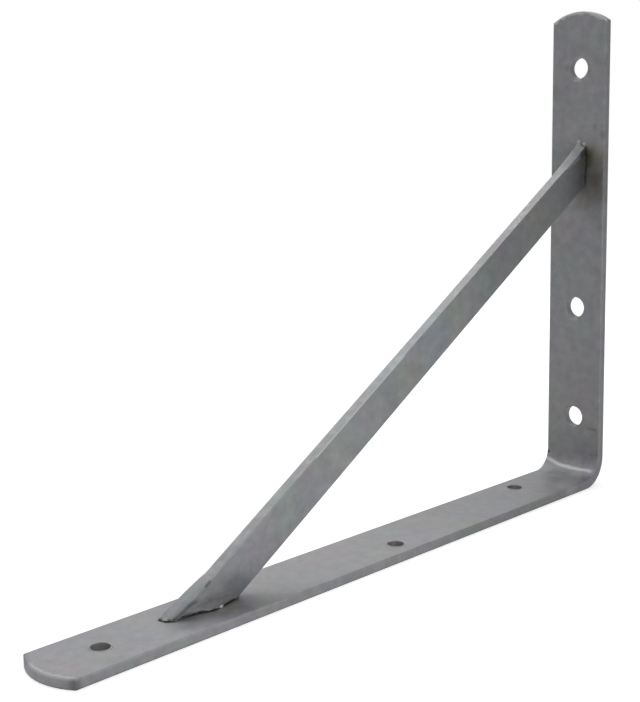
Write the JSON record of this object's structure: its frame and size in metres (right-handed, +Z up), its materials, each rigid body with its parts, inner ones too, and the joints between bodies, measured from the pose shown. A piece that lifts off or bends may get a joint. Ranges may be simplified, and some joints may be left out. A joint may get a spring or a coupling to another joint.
{
  "type": "shelf bracket",
  "caption": "Right-angle shelf bracket bent from flat steel strip, with arc-cut ends, round screw holes and a welded diagonal brace on edge.",
  "frame": {"origin": "on the shelf arm's flat outer face, halfway along the bracket's overall length from the wall face to the arm's free end and halfway across the strip", "axes": "+X from the wall face along the shelf arm to its free end, +Y across the strip, +Z up the wall arm; in use on a wall the bracket is turned over, with the shelf arm on top"},
  "size_m": [0.32, 0.03, 0.231],
  "materials": {
    "coated_steel": "flat steel with a thin matt grey zinc coat, faintly mottled",
    "coated_weld": "weld metal under the same matt grey zinc coat, with dark edges and a faint brown heat tint"
  },
  "bodies": {
    "root": {"bent_arms": "coated_steel", "brace": "coated_steel", "foot_weld": "coated_weld", "head_weld": "coated_weld"}
  },
  "joints": []
}
